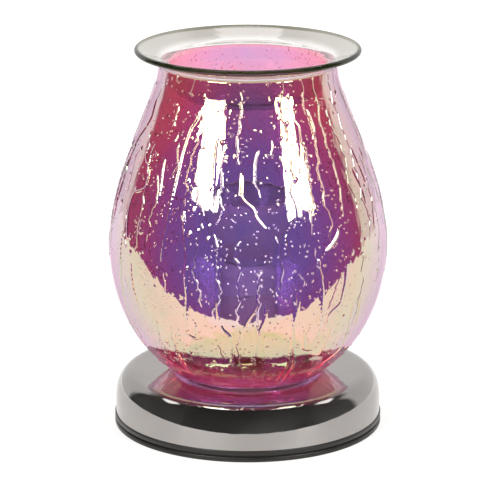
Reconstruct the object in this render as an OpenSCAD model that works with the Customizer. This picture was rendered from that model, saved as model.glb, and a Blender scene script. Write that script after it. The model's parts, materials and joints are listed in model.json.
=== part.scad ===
// Electric wax-melt lamp: a glass dish on a glass shade, over a halogen lamp, on a touch base.
// Millimetres, +Z up. The origin is the centre of the foot ring, on the table.

/* [Base] */
// Outside diameter of the chromed shell
base_d = 129.2; // [122:0.2:180]
// Height of the shell's flat top above the table
base_h = 26; // [25:0.5:40]
// Thickness of the pressed shell
shell_wall = 1; // [0.8:0.1:1.5]
// Width of the rounded shoulder
shoulder_w = 10.7; // [6:0.1:14]
// Height of the rounded shoulder
shoulder_h = 16.5; // [8:0.5:17]
// Squareness of the shoulder's curve, 2 being an ellipse
shoulder_power = 2.7; // [2:0.1:4]

/* [Foot ring and base plate] */
// How far the foot ring stands out past the shell
ring_lip = 0.5; // [0.2:0.1:1.5]
// Height of the ring below the shell's edge
ring_h = 5.6; // [5:0.1:8]
// Depth of the groove around the ring
groove_depth = 0.9; // [0.4:0.1:1.5]
// Height of the groove around the ring
groove_h = 0.8; // [0.4:0.1:1.2]
// Height of the ring's upstand inside the shell
upstand_h = 3.4; // [2:0.1:5]
// Thickness of the upstand
upstand_w = 5.3; // [3:0.1:7]
// Thickness of the base plate
plate_t = 1.5; // [1:0.1:2]
// Gap between the table and the base plate
plate_lift = 1.5; // [1.5:0.1:2.5]
// Diameter of the pillars that the plate is screwed to
pillar_d = 8; // [6:0.5:10]

/* [Cord gland] */
// Bore of the gland, for a round mains cord
gland_bore_d = 6.4; // [5:0.1:7]
// Diameter of the gland's neck in the shell
gland_neck_d = 8.4; // [7.5:0.1:9]
// Diameter of the gland's flanges
gland_flange_d = 10; // [9.5:0.1:11]

/* [Glass shade] */
// Diameter of the glass at its widest
shade_d = 135; // [120:1:170]
// Height of the glass, from its foot to its lip
shade_h = 151.7; // [130:1:190]
// Height of the widest point above the glass's foot
belly_h = 63.3; // [50:0.5:90]
// Diameter of the foot
foot_d = 72.7; // [68:0.5:90]
// Outside diameter of the mouth
mouth_d = 85.2; // [76:0.5:100]
// Thickness of the glass
shade_wall = 3; // [2:0.1:4]
// Angle at which the wall leaves the foot
foot_rise = 31; // [20:1:45]
// Angle at which the neck leans inwards at the mouth
neck_lean = 8; // [0:1:20]
// Diameter of the hole in the glass's floor
floor_hole_d = 40; // [36:1:46]

/* [Glass dish] */
// Diameter of the dish
dish_d = 108.3; // [100:0.5:130]
// Thickness of the dish's glass
dish_wall = 2.7; // [2:0.1:3.5]
// Upward slope of the rim
rim_slope = 20; // [10:1:30]
// Depth of the dish's underside below the lip of the shade
well_depth = 19; // [12:1:26]
// Diameter of the well's flat floor
well_floor_d = 36; // [20:1:50]

/* [Centre fixing] */
// Diameter of the threaded tube
tube_d = 10; // [8:0.5:12]
// Bore of the threaded tube
tube_bore_d = 7; // [5.4:0.1:8]
// Width of the nuts across flats
nut_af = 14; // [13:0.5:17]
// Thickness of the nuts
nut_t = 4; // [3:0.5:5]
// Thickness of the silicone gaskets
gasket_t = 1; // [0.5:0.1:2]
// How far the clamp disc reaches past the hole in the glass
clamp_reach = 10; // [6:0.5:13]
// Thickness of the clamp disc
clamp_t = 1.5; // [1:0.1:2.5]

/* [Lampholder] */
// Diameter of the lampholder
holder_d = 27; // [26:0.5:32]
// Height of the ceramic body
holder_h = 12; // [11.5:0.5:16]
// Thickness of the rear cover
cover_t = 2.5; // [2:0.1:4]
// Height of the bracket
bracket_h = 14.7; // [12:0.1:20]
// Thickness of the bracket's strap
strap_t = 1.2; // [1:0.1:2]
// Distance between the holder's two screws
screw_pitch = 19.2; // [18.4:0.1:19.6]

/* [Lamp] */
// Diameter of the reflector's rim
lamp_d = 50; // [40:0.5:60]
// Length of the lamp above its seat
lamp_h = 47.5; // [40:0.5:60]
// Diameter of the ceramic cap
cap_d = 25.6; // [24:0.2:26]
// Distance between the two pins
pin_pitch = 10; // [9.8:0.1:10.2]
// Turn that frees the pins
twist = 30; // [25:1:32]

/* [Touch dimmer] */
// Length of the dimmer case
case_l = 44; // [40:1:50]
// Width of the dimmer case
case_w = 32; // [30:1:34]
// Height of the dimmer case
case_h = 14; // [13:0.5:15]
// Wall thickness of the dimmer case
case_wall = 1.6; // [1.2:0.1:2]

/* [Hidden] */
$fn = 96;

// Clearances
slip = 0.2;       // radial, between fixed pieces that slide together
thread = 0.05;    // radial, where a thread is left out
seat_gap = 0.25;  // between the dish and the lip it rests on
turn_gap = 0.2;   // between the lamp and its holder

// Base
base_r = base_d / 2;
cavity_r = base_r - shell_wall;
ring_r = base_r + ring_lip;
upstand_r = cavity_r - slip;
upstand_in = upstand_r - upstand_w;
plate_r = upstand_in + 2;
plate_top = plate_lift + plate_t;
ceiling_z = base_h - shell_wall;
pillar_ring = upstand_in - 12;
pillar_angles = [30, 150, 270];
ring_chamfer = 0.5;
gland_z = ring_h + upstand_h + gland_flange_d / 2 + slip;

// Screws
m3_r = 1.5;
m3_head_r = 2.8;
m3_head_t = 1.2;
m3_grip = 10;

// Centre fixing, from the bottom up
tube_r = tube_d / 2;
tube_hole_r = tube_r + slip;
nut_r = nut_af / 2 / cos(30);
tag_t = 0.8;
washer_t = 1;
washer_r = nut_r + 1;
tag_z = ceiling_z - tag_t;
washer_z = tag_z - washer_t;
lower_nut_z = washer_z - nut_t;
tube_low = lower_nut_z - 4;
glass_z = base_h + gasket_t;
floor_top = glass_z + shade_wall;
disc_z = floor_top + gasket_t;
upper_nut_z = disc_z + clamp_t;
bracket_z = upper_nut_z + nut_t;
bracket_nut_z = bracket_z + strap_t;
tube_high = bracket_nut_z + nut_t + 1;

// Shade and dish
belly = [shade_d / 2, glass_z + belly_h];
foot = [foot_d / 2, glass_z];
lip_r = shade_wall / 2;
lip_top = glass_z + shade_h;
lip_z = lip_top - lip_r;
mouth = [mouth_d / 2, lip_z];
hole_r = floor_hole_d / 2;
foot_pull = 0.43 * (belly[0] - foot[0]);
lower_pull = 0.58 * belly_h;
upper_pull = 0.377 * (lip_z - belly[1]);
neck_pull = 0.222 * (lip_z - belly[1]);
curve_steps = 16;

// Lampholder and lamp
holder_z = bracket_z + bracket_h;
body_z = holder_z + cover_t;
body_top = body_z + holder_h;
holder_r = holder_d / 2;
face_t = 3.2;
lamp_z = body_top + turn_gap;
pin_r = pin_pitch / 2;
pin_neck_r = 1.55;
pin_head_r = 2.5;
pin_head_t = 3;
pin_l = 7;
slot_gap = 0.3;
contact_x = 6;
lead_d = 2.2;
lead_hole_r = lead_d / 2 + 0.3;
holder_screw_y = screw_pitch / 2;
cap_h = 14;
cap_r = cap_d / 2;
cap_bore_r = 9;
cap_floor = lamp_z + 6;
reflector_neck = lamp_z + cap_h + 1;
reflector_neck_r = cap_bore_r - 0.3;
reflector_wall = 1.6;
rim_h = 3.5;
lamp_top = lamp_z + lamp_h;
rim_z = lamp_top - rim_h;
lens_t = 2;
capsule_r = 4.5;
capsule_wall = 0.9;
capsule_low = lamp_z + 17;
capsule_h = 20;

// Touch dimmer and terminal block
case_x = -14 - case_w;
case_y = 14 - case_l;
case_top = plate_top + case_h;
board_z = plate_top + case_wall + 2;
board_t = 1.6;
board_top = board_z + board_t;
board_gap = 0.4;
lead_z = plate_top + 8;
lead_rows = [8, 2, -4, -10];
ear_x = case_x + case_w - 10;
ear_r = 4;
ear_t = 2.5;
block_size = [20, 17, 13];
block_at = [12, 24, plate_top];
pole_r = 3.1;
pole_bore_r = 2.5;
pole_z = plate_top + 5.5;
pole_xs = [17, 27];
clamp_ys = [28.5, 36.5];
block_centre = [block_at[0] + block_size[0] / 2, block_at[1] + block_size[1] / 2];

// Lead routes, each from its start to its end
bend = 3;
board_row = [-18, -18, -18, -20];
live_route = [
    [17, 31, 8.5], [17, 18, 8.5], [10, 8, 9], [-8, 8, 11], [-18, 8, 11], [-18, 8, board_top]
];
neutral_route = [
    [28.3, 31, 8.5], [28.3, 16, 8.5], [20, -8, 6], [-6, -10, 8], [-13, -10, 11],
    [-20, -10, 11], [-20, -10, board_top]
];
lamp_live_route = [
    [-18, -4, board_top], [-18, -4, 11], [-9, -4, 11], [-1.6, 0, 8], [-1.6, 0, 46],
    [-contact_x, 0, 49], [-contact_x, 0, body_z + 3]
];
lamp_neutral_route = [
    [25.7, 31, 8.5], [25.7, 18, 8.5], [14, 1, 7], [1.6, 0, 7], [1.6, 0, 46],
    [contact_x, 0, 49], [contact_x, 0, body_z + 3]
];
touch_route = [
    [-18, 2, board_top], [-18, 2, 11], [-11, 2, 11], [-9, 8, 16], [-8, 20, 16],
    [-5, 27, 20], [0, 27, 22.5], [0, 16, 22.5]
];

// ---- Curves and outlines ----

function unit(v) = v / norm(v);

// A point on a cubic Bezier curve
function bezier(p, t) =
    pow(1 - t, 3) * p[0] + 3 * pow(1 - t, 2) * t * p[1]
    + 3 * (1 - t) * t * t * p[2] + pow(t, 3) * p[3];

function curve(p, steps = curve_steps) = [for (i = [0:steps]) bezier(p, i / steps)];

// The path moved sideways, to its left when gap is positive
function beside(path, gap) = [
    for (i = [0:len(path) - 1])
        let (way = unit(path[min(i + 1, len(path) - 1)] - path[max(i - 1, 0)]))
        path[i] + gap * [-way[1], way[0]]
];

function reversed(path) = [for (i = [len(path) - 1:-1:0]) path[i]];

function arc(centre, r, from, to, steps = 8) = [
    for (i = [0:steps])
        let (a = from + (to - from) * i / steps)
        centre + r * [cos(a), sin(a)]
];

// Outline of the shell's side and shoulder, from its lower edge to the flat top
function shell_side(inset) = [
    [base_r - inset, ring_h],
    each [
        for (i = [0:14])
            let (a = 90 * i / 14)
            [
                base_r - shoulder_w + (shoulder_w - inset) * pow(cos(a), 2 / shoulder_power),
                base_h - shoulder_h + (shoulder_h - inset) * pow(sin(a), 2 / shoulder_power)
            ]
    ]
];

// Outer surface of the shade, from its foot to its lip
function shade_side() = concat(
    curve([
        foot, foot + foot_pull * [cos(foot_rise), sin(foot_rise)],
        belly - [0, lower_pull], belly
    ]),
    [for (p = curve([
        belly, belly + [0, upper_pull],
        mouth + neck_pull * [sin(neck_lean), -cos(neck_lean)], mouth
    ])) if (p[1] > belly[1]) p]
);

// Middle of the dish's glass, from the axis to the rim
function dish_middle() =
    let (
        half = dish_wall / 2,
        lip = [mouth[0] - lip_r, lip_z],
        wall_r = mouth[0] - shade_wall - 0.7 - half,
        rise = (lip_r + seat_gap + half) / cos(rim_slope),
        corner = [wall_r, lip[1] + rise + (wall_r - lip[0]) * tan(rim_slope)],
        floor_z = lip_top - well_depth + half,
        floor_r = well_floor_d / 2,
        side_top = corner[1] - 3,
        edge_r = dish_d / 2 - half,
        edge = [edge_r, corner[1] + (edge_r - wall_r) * tan(rim_slope)],
        turn = corner + 3 * [cos(rim_slope), sin(rim_slope)]
    )
    concat(
        [[0, floor_z]],
        curve([
            [floor_r, floor_z], [floor_r + 0.62 * (wall_r - floor_r), floor_z],
            [wall_r, floor_z + 0.45 * (side_top - floor_z)], [wall_r, side_top]
        ], 12),
        [for (i = [1:6]) let (t = i / 6)
            (1 - t) * (1 - t) * [wall_r, side_top] + 2 * t * (1 - t) * corner + t * t * turn],
        [edge]
    );

// ---- Leads ----

function bent(a, b, c) =
    let (
        reach = min(bend, 0.45 * norm(a - b), 0.45 * norm(c - b)),
        start = b + reach * unit(a - b),
        end = b + reach * unit(c - b)
    )
    [for (i = [0:4]) let (t = i / 4)
        (1 - t) * (1 - t) * start + 2 * t * (1 - t) * b + t * t * end];

function rounded(route) = concat(
    [route[0]],
    [for (i = [1:len(route) - 2]) each bent(route[i - 1], route[i], route[i + 1])],
    [route[len(route) - 1]]
);

// Sideways directions along a path, carried from ring to ring without twisting
function sideways(ways, side, i = 0) =
    i == len(ways) ? [] :
    let (s = unit(side - (side * ways[i]) * ways[i]))
    concat([s], sideways(ways, s, i + 1));

// An eight-sided tube along a path
module tube_along(path, d) {
    last = len(path) - 1;
    ways = [for (i = [0:last]) unit(path[min(i + 1, last)] - path[max(i - 1, 0)])];
    sides = sideways(ways, [0.6, 0.5, 0.4]);
    points = [
        for (i = [0:last]) for (k = [0:7])
            path[i] + d / 2 * (cos(45 * k) * sides[i] + sin(45 * k) * cross(ways[i], sides[i]))
    ];
    walls = [
        for (i = [0:last - 1]) for (k = [0:7])
            let (a = 8 * i + k, b = 8 * i + (k + 1) % 8)
            each [[a, a + 8, b], [b, a + 8, b + 8]]
    ];
    start_cap = [for (k = [0:7]) k];
    end_cap = [for (k = [7:-1:0]) 8 * last + k];
    polyhedron(points, concat([start_cap], walls, [end_cap]));
}

module lead(route) {
    tube_along(rounded(route), lead_d);
}

// ---- Repeated shapes ----

module ring(outer, inner, h) {
    rotate_extrude()
        translate([inner, 0]) square([outer - inner, h]);
}

module at_pillars() {
    for (a = pillar_angles)
        rotate(a) translate([pillar_ring, 0, 0]) children();
}

module at_ears() {
    for (y = [case_y - ear_r, case_y + case_l + ear_r])
        translate([ear_x, y, 0]) children();
}

module hex_nut(h) {
    difference() {
        cylinder(r = nut_r, h = h, $fn = 6);
        translate([0, 0, -1]) cylinder(r = tube_r + thread, h = h + 2);
    }
}

// A pan-head screw with a cross recess, its head at the bottom
module screw(shank) {
    difference() {
        union() {
            cylinder(r = m3_head_r, h = m3_head_t, $fn = 32);
            cylinder(r = m3_r, h = m3_head_t + shank, $fn = 32);
        }
        for (a = [0, 90])
            rotate(a) translate([-1.6, -0.3, -0.1]) cube([3.2, 0.6, 0.9]);
    }
}

module screw_down(shank) {
    mirror([0, 0, 1]) translate([0, 0, -m3_head_t]) screw(shank);
}

// ---- Base ----

module base_shell() {
    color("silver") difference() {
        rotate_extrude() polygon(concat(
            shell_side(0), [[tube_hole_r, base_h], [tube_hole_r, ceiling_z]],
            reversed(shell_side(shell_wall))
        ));
        translate([0, cavity_r - 5, gland_z])
            rotate([-90, 0, 0]) cylinder(d = gland_neck_d + 2 * slip, h = 10);
    }
}

module foot_ring() {
    groove_z = (ring_h - groove_h) / 2;
    color("#1c1c1e") rotate_extrude() polygon([
        [plate_r + slip, 0], [ring_r - ring_chamfer, 0], [ring_r, ring_chamfer],
        [ring_r, groove_z], [ring_r - groove_depth, groove_z],
        [ring_r - groove_depth, groove_z + groove_h], [ring_r, groove_z + groove_h],
        [ring_r, ring_h - ring_chamfer], [ring_r - ring_chamfer, ring_h],
        [upstand_r, ring_h], [upstand_r, ring_h + upstand_h],
        [upstand_in, ring_h + upstand_h], [upstand_in, plate_top], [plate_r + slip, plate_top]
    ]);
}

module base_plate() {
    color("#26262a") difference() {
        translate([0, 0, plate_lift]) cylinder(r = plate_r, h = plate_t);
        at_pillars() cylinder(r = m3_r + slip, h = 10);
        at_ears() cylinder(r = m3_r + thread, h = 10);
        translate(concat(block_centre, 0)) cylinder(r = m3_r + thread, h = 10);
    }
}

module base_pillars() {
    color("lightgrey") at_pillars() translate([0, 0, plate_top]) difference() {
        cylinder(d = pillar_d, h = ceiling_z - plate_top);
        translate([0, 0, -1]) cylinder(r = m3_r + thread, h = m3_grip + 3);
    }
}

module plate_screws() {
    color("grey") at_pillars()
        translate([0, 0, plate_lift - m3_head_t]) screw(plate_t + m3_grip);
}

module cord_gland() {
    outer_y = base_r + 2;
    inner_y = cavity_r - 2;
    color("#1a1a1a") difference() {
        union() {
            difference() {
                along_gland(inner_y, outer_y) circle(d = gland_flange_d);
                rotate_extrude() polygon(concat(
                    shell_side(-thread), reversed(shell_side(shell_wall + thread))
                ));
            }
            along_gland(inner_y + 0.5, outer_y - 0.5) circle(d = gland_neck_d);
        }
        along_gland(inner_y - 1, outer_y + 1) circle(d = gland_bore_d);
    }
}

module along_gland(from_y, to_y) {
    translate([0, from_y, gland_z]) rotate([-90, 0, 0]) linear_extrude(to_y - from_y) children();
}

// ---- Centre fixing ----

module centre_tube() {
    color("goldenrod") translate([0, 0, tube_low])
        ring(tube_r, tube_bore_d / 2, tube_high - tube_low);
}

module touch_tag() {
    barrel_r = lead_d / 2 + 0.6;
    barrel_z = touch_route[7][2];
    color("gold") {
        difference() {
            union() {
                translate([0, 0, tag_z]) cylinder(r = washer_r, h = tag_t);
                translate([-barrel_r, 0, tag_z]) cube([2 * barrel_r, 20, tag_t]);
                translate([0, 14, barrel_z]) rotate([-90, 0, 0]) cylinder(r = barrel_r, h = 6);
                translate([-1, 14, barrel_z]) cube([2, 6, tag_z - barrel_z]);
            }
            translate([0, 0, tag_z - 1]) cylinder(r = tube_hole_r, h = 3);
            translate([0, 16, barrel_z])
                rotate([-90, 0, 0]) cylinder(r = lead_d / 2 + thread, h = 10);
        }
    }
}

module lock_washer() {
    color("silver") translate([0, 0, washer_z]) difference() {
        cylinder(r = washer_r, h = washer_t);
        translate([0, 0, -1]) cylinder(r = tube_hole_r, h = washer_t + 2);
        for (a = [0:30:330])
            rotate(a) translate([nut_r - 0.4, -0.5, -1]) cube([3, 1, washer_t + 2]);
    }
}

module lower_nut() {
    color("goldenrod") translate([0, 0, lower_nut_z]) hex_nut(nut_t);
}

module lower_gasket() {
    color("white") translate([0, 0, base_h]) ring(foot[0] - 3, hole_r - 1, gasket_t);
}

module centring_bush() {
    color("ivory") translate([0, 0, base_h])
        ring(hole_r - 1 - slip, tube_hole_r, 2 * gasket_t + shade_wall - slip);
}

module upper_gasket() {
    color("white") translate([0, 0, floor_top])
        ring(hole_r + clamp_reach - 1, hole_r + slip, gasket_t);
}

module clamp_disc() {
    clamp_r = hole_r + clamp_reach;
    color("gainsboro") translate([0, 0, disc_z]) rotate_extrude() polygon([
        [tube_hole_r, 0], [clamp_r, 0], [clamp_r, clamp_t + 1], [clamp_r - 1, clamp_t + 1],
        [clamp_r - 1, clamp_t], [tube_hole_r, clamp_t]
    ]);
}

module upper_nut() {
    color("goldenrod") translate([0, 0, upper_nut_z]) hex_nut(nut_t);
}

// ---- Shade and dish ----

module glass_shade() {
    outside = shade_side();
    inside = [
        for (p = beside(outside, shade_wall))
            if (p[1] > floor_top + 0.2 && p[1] < lip_z - 0.2) p
    ];
    color("#9c4fb0") rotate_extrude() polygon(concat(
        outside, arc(mouth - [lip_r, 0], lip_r, 20, 160), [[mouth[0] - shade_wall, lip_z]],
        reversed(inside), [[inside[0][0] - 1, floor_top], [hole_r, floor_top], [hole_r, glass_z]]
    ));
}

module dish() {
    middle = dish_middle();
    half = dish_wall / 2;
    rim = middle[len(middle) - 1];
    color("#dfe6df") rotate_extrude() polygon(concat(
        beside(middle, -half), arc(rim, half, rim_slope - 70, rim_slope + 70),
        reversed(beside(middle, half))
    ));
}

// ---- Lampholder ----

module lamp_bracket() {
    strap_w = 14;
    leg_y = holder_screw_y + 6.6;
    color("lightgrey") translate([0, 0, bracket_z]) difference() {
        union() {
            translate([-strap_w / 2, -leg_y, 0]) cube([strap_w, 2 * leg_y, strap_t]);
            for (side = [0, 180]) rotate(side) {
                translate([-strap_w / 2, leg_y - strap_t, 0])
                    cube([strap_w, strap_t, bracket_h]);
                translate([-strap_w / 2, holder_screw_y - 3, bracket_h - strap_t])
                    cube([strap_w, leg_y - holder_screw_y + 3, strap_t]);
            }
        }
        translate([0, 0, -1]) cylinder(r = tube_hole_r, h = strap_t + 2);
        for (y = [-holder_screw_y, holder_screw_y])
            translate([0, y, bracket_h - strap_t - 1]) cylinder(r = m3_r + thread, h = strap_t + 2);
    }
}

module bracket_nut() {
    color("goldenrod") translate([0, 0, bracket_nut_z]) hex_nut(nut_t);
}

module holder_cover() {
    color("wheat") translate([0, 0, holder_z]) difference() {
        cylinder(r = holder_r, h = cover_t);
        for (x = [-contact_x, contact_x])
            translate([x, 0, -1]) cylinder(r = lead_hole_r, h = cover_t + 2);
        for (y = [-holder_screw_y, holder_screw_y])
            translate([0, y, -1]) cylinder(r = m3_r + slip, h = cover_t + 2);
    }
}

// A sector of a ring, from one angle to another
module sector(outer, inner, from, to, h) {
    rotate(from) rotate_extrude(angle = to - from)
        translate([inner, 0]) square([outer - inner, h]);
}

// The curved slot that one pin enters at the twist angle and turns along to 0
module pin_slot(h) {
    neck = pin_neck_r + slot_gap;
    translate([pin_r, 0, 0]) cylinder(r = neck, h = h);
    sector(pin_r + neck, pin_r - neck, 0, twist, h);
    rotate(twist) translate([pin_r, 0, 0]) cylinder(r = pin_head_r + slot_gap, h = h);
}

module holder_body() {
    pocket_out = pin_r + pin_head_r + 2;
    color("ivory") translate([0, 0, body_z]) difference() {
        cylinder(r = holder_r, h = holder_h);
        for (side = [0, 180]) rotate(side) {
            translate([0, 0, holder_h - face_t - 1]) pin_slot(face_t + 2);
            translate([0, 0, -1]) sector(pocket_out, 1.8, -45, twist + 42, holder_h - face_t + 1);
        }
        for (y = [-holder_screw_y, holder_screw_y]) translate([0, y, 0]) {
            translate([0, 0, -1]) cylinder(r = m3_r + slip, h = holder_h + 2);
            translate([0, 0, holder_h - m3_head_t - 0.6])
                cylinder(r = m3_head_r + slip, h = m3_head_t + 2);
        }
    }
}

module holder_contacts() {
    leaf_z = lamp_z - pin_l - turn_gap;
    leaf_t = 0.5;
    color("gold") for (side = [0, 180]) rotate(side) {
        translate([2.6, -2.4, leaf_z - leaf_t]) cube([5.4, 4.8, leaf_t]);
        translate([contact_x - 2, -2, body_z]) difference() {
            cube([4, 4, leaf_z - leaf_t - body_z]);
            translate([2, 2, -1]) cylinder(r = lead_d / 2 + thread, h = 4.1);
        }
    }
}

module holder_screws() {
    seat_z = body_top - m3_head_t - 0.6;
    color("grey") for (y = [-holder_screw_y, holder_screw_y])
        translate([0, y, seat_z]) screw_down(seat_z - holder_z + strap_t + 2);
}

// ---- Lamp ----

module lamp_cap() {
    color("whitesmoke") difference() {
        intersection() {
            union() {
                translate([0, 0, lamp_z]) cylinder(r = cap_r, h = cap_h - 5);
                translate([0, 0, lamp_z + cap_h - 5]) cylinder(r1 = cap_r, r2 = cap_r - 2, h = 5);
            }
            translate([-cap_r - 1, -cap_r + 1.6, lamp_z])
                cube([2 * cap_r + 2, 2 * cap_r - 3.2, cap_h]);
        }
        translate([0, 0, cap_floor]) cylinder(r = cap_bore_r, h = cap_h);
        for (x = [-pin_r, pin_r])
            translate([x, 0, lamp_z - 1]) cylinder(r = pin_neck_r + thread, h = 4);
    }
}

module lamp_pins() {
    color("silver") for (x = [-pin_r, pin_r]) translate([x, 0, lamp_z - pin_l]) {
        cylinder(r = pin_head_r, h = pin_head_t);
        cylinder(r = pin_neck_r, h = pin_l + 3);
    }
}

// Outside of the reflector's bowl, a parabola between its neck and its rim
function bowl_side(inset) = [
    for (i = [0:12]) let (t = i / 12)
        [
            reflector_neck_r - inset + (lamp_d / 2 - 0.6 - reflector_neck_r) * t,
            reflector_neck + (rim_z - reflector_neck) * t * t
        ]
];

module lamp_reflector() {
    lens_seat = lamp_top - lens_t - 0.4;
    lens_r = lamp_d / 2 - reflector_wall;
    inner = [for (p = bowl_side(reflector_wall)) if (p[1] < lens_seat - 0.5) p];
    color("#b9c4d6") rotate_extrude() polygon(concat(
        [[reflector_neck_r, cap_floor]], bowl_side(0),
        [
            [lamp_d / 2, rim_z], [lamp_d / 2, lamp_top], [lens_r, lamp_top],
            [lens_r, lens_seat], [lens_r - 1, lens_seat]
        ],
        reversed(inner), [[reflector_neck_r - reflector_wall, cap_floor]]
    ));
}

module lamp_lens() {
    color("aliceblue") translate([0, 0, lamp_top - lens_t - 0.4])
        cylinder(r = lamp_d / 2 - reflector_wall - 0.1, h = lens_t);
}

module lamp_capsule() {
    dome_z = capsule_h - capsule_r;
    color("azure") translate([0, 0, capsule_low]) difference() {
        union() {
            cylinder(r = capsule_r, h = dome_z);
            translate([0, 0, dome_z]) sphere(r = capsule_r);
        }
        translate([0, 0, -1]) cylinder(r = capsule_r - capsule_wall, h = dome_z + 1);
        translate([0, 0, dome_z]) sphere(r = capsule_r - capsule_wall);
    }
}

module lamp_seal() {
    foot_h = capsule_low - 2 - cap_floor;
    color("lavender") {
        translate([-4, -1.5, cap_floor]) cube([8, 3, foot_h]);
        translate([0, 0, capsule_low - 2]) cylinder(r = capsule_r, h = 2);
        translate([0, 0, capsule_low - 0.01])
            cylinder(r = capsule_r - capsule_wall - 0.1, h = 2);
    }
}

module lamp_filament() {
    turns = 7;
    coil_r = 1.2;
    coil_low = capsule_low + 7;
    coil_h = 7;
    steps = 10 * turns;
    foot_z = capsule_low + 2;
    coil = [
        for (i = [0:steps]) let (a = 36 * i)
            [coil_r * cos(a), coil_r * sin(a), coil_low + coil_h * i / steps]
    ];
    route = concat(
        [[2, 0, foot_z], [2, 0, coil_low - 0.6]], coil,
        [[1.6, 0, coil_low + coil_h + 1], [-2, 0, coil_low + coil_h + 1], [-2, 0, foot_z]]
    );
    color("orange") tube_along(route, 0.4);
}

// ---- Touch dimmer ----

module dimmer_case() {
    color("#3a3d42") difference() {
        union() {
            translate([case_x, case_y, plate_top]) cube([case_w, case_l, case_h]);
            at_ears() translate([0, 0, plate_top]) cylinder(r = ear_r, h = ear_t);
            translate([ear_x - ear_r, case_y - ear_r, plate_top])
                cube([2 * ear_r, case_l + 2 * ear_r, ear_t]);
        }
        translate([case_x + case_wall, case_y + case_wall, plate_top + case_wall])
            cube([case_w - 2 * case_wall, case_l - 2 * case_wall, case_h]);
        at_ears() cylinder(r = m3_r + slip, h = 20);
        for (y = lead_rows)
            translate([case_x + case_w - 3, y, lead_z])
                rotate([0, 90, 0]) cylinder(r = lead_hole_r, h = 6);
    }
    color("#3a3d42") for (x = [case_x + 4, case_x + case_w - 8], y = [case_y + 4, case_y + case_l - 4])
        translate([x, y, plate_top + case_wall]) cylinder(r = 1.8, h = 2);
}

module dimmer_lid() {
    inset = case_wall + 0.2;
    color("#44474d") {
        translate([case_x, case_y, case_top]) cube([case_w, case_l, 1.5]);
        translate([case_x + inset, case_y + inset, case_top - 1.2]) difference() {
            cube([case_w - 2 * inset, case_l - 2 * inset, 1.2]);
            translate([1.2, 1.2, -1])
                cube([case_w - 2 * inset - 2.4, case_l - 2 * inset - 2.4, 2.2]);
        }
    }
}

module dimmer_board() {
    inset = case_wall + board_gap;
    color("#1f6b3a") translate([case_x + inset, case_y + inset, board_z])
        cube([case_w - 2 * inset, case_l - 2 * inset, board_t]);
}

module at_choke() {
    translate([case_x + 10, case_y + 10, board_top]) children();
}

module choke_core() {
    color("#2b2b2b") at_choke() {
        cylinder(r = 6, h = 1);
        cylinder(r = 2.4, h = 7);
        translate([0, 0, 6]) cylinder(r = 6, h = 1);
    }
}

module choke_coil() {
    color("#b8692e") at_choke() translate([0, 0, 1.1]) ring(5.2, 2.5, 4.8);
}

module dimmer_capacitor() {
    color("#d9b43a") translate([case_x + 4, case_y + 20, board_top + 0.5]) {
        cube([13, 6, 7]);
        for (x = [2.5, 10.5])
            translate([x, 3, -0.5]) cylinder(r = 0.4, h = 0.6, $fn = 16);
    }
}

module dimmer_triac() {
    color("#222428") translate([case_x + 4, case_y + 30, board_top]) {
        cube([9, 10, 4.4]);
        for (y = [2.5, 5, 7.5])
            translate([8.9, y - 0.4, 0]) cube([3, 0.8, 0.6]);
    }
}

module dimmer_chip() {
    color("#18191b") translate([case_x + 18.5, case_y + 30, board_top]) {
        translate([0, 0, 0.5]) cube([6.4, 9.6, 3.3]);
        for (y = [1, 3.5, 6, 8.5], x = [-0.6, 6.2])
            translate([x, y - 0.25, 0]) cube([0.8, 0.5, 2]);
    }
}

module case_screws() {
    color("grey") at_ears()
        translate([0, 0, plate_top + ear_t]) screw_down(ear_t + plate_t);
}

// ---- Terminal block ----

module terminal_block() {
    color("whitesmoke") difference() {
        translate(block_at) cube(block_size);
        for (x = pole_xs) {
            translate([x, block_at[1] - 1, pole_z])
                rotate([-90, 0, 0]) cylinder(r = pole_r + thread, h = block_size[1] + 2);
            for (y = clamp_ys)
                translate([x, y, pole_z]) cylinder(r = 2, h = 20);
        }
        translate(concat(block_centre, 0)) cylinder(r = m3_r + slip, h = 30);
        translate(concat(block_centre, plate_top + 9)) cylinder(r = m3_head_r + slip, h = 9);
    }
}

module terminal_inserts() {
    color("gold") difference() {
        for (x = pole_xs)
            translate([x, block_at[1] + 1, pole_z])
                rotate([-90, 0, 0]) cylinder(r = pole_r, h = block_size[1] - 2);
        for (x = pole_xs) {
            translate([x, block_at[1], pole_z])
                rotate([-90, 0, 0]) cylinder(r = pole_bore_r, h = block_size[1]);
            for (y = clamp_ys)
                translate([x, y, pole_z]) cylinder(r = 1.3, h = 10);
        }
    }
}

module terminal_screws() {
    reach_z = pole_z + lead_d / 2 + 0.2;
    color("grey") for (x = pole_xs, y = clamp_ys) translate([x, y, 0]) difference() {
        union() {
            translate([0, 0, reach_z]) cylinder(r = 1.25, h = 5);
            translate([0, 0, pole_z + pole_r + 0.2]) cylinder(r = 1.9, h = 3);
        }
        translate([-2.5, -0.3, pole_z + pole_r + 2.4]) cube([5, 0.6, 2]);
    }
}

module block_screw() {
    color("grey") translate(concat(block_centre, plate_top + 9)) screw_down(9 + plate_t);
}

// ---- Leads ----

module live_lead() {
    color("saddlebrown") lead(live_route);
}

module neutral_lead() {
    color("royalblue") lead(neutral_route);
}

module lamp_live_lead() {
    color("firebrick") lead(lamp_live_route);
}

module lamp_neutral_lead() {
    color("royalblue") lead(lamp_neutral_route);
}

module touch_lead() {
    color("yellow") lead(touch_route);
}

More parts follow.
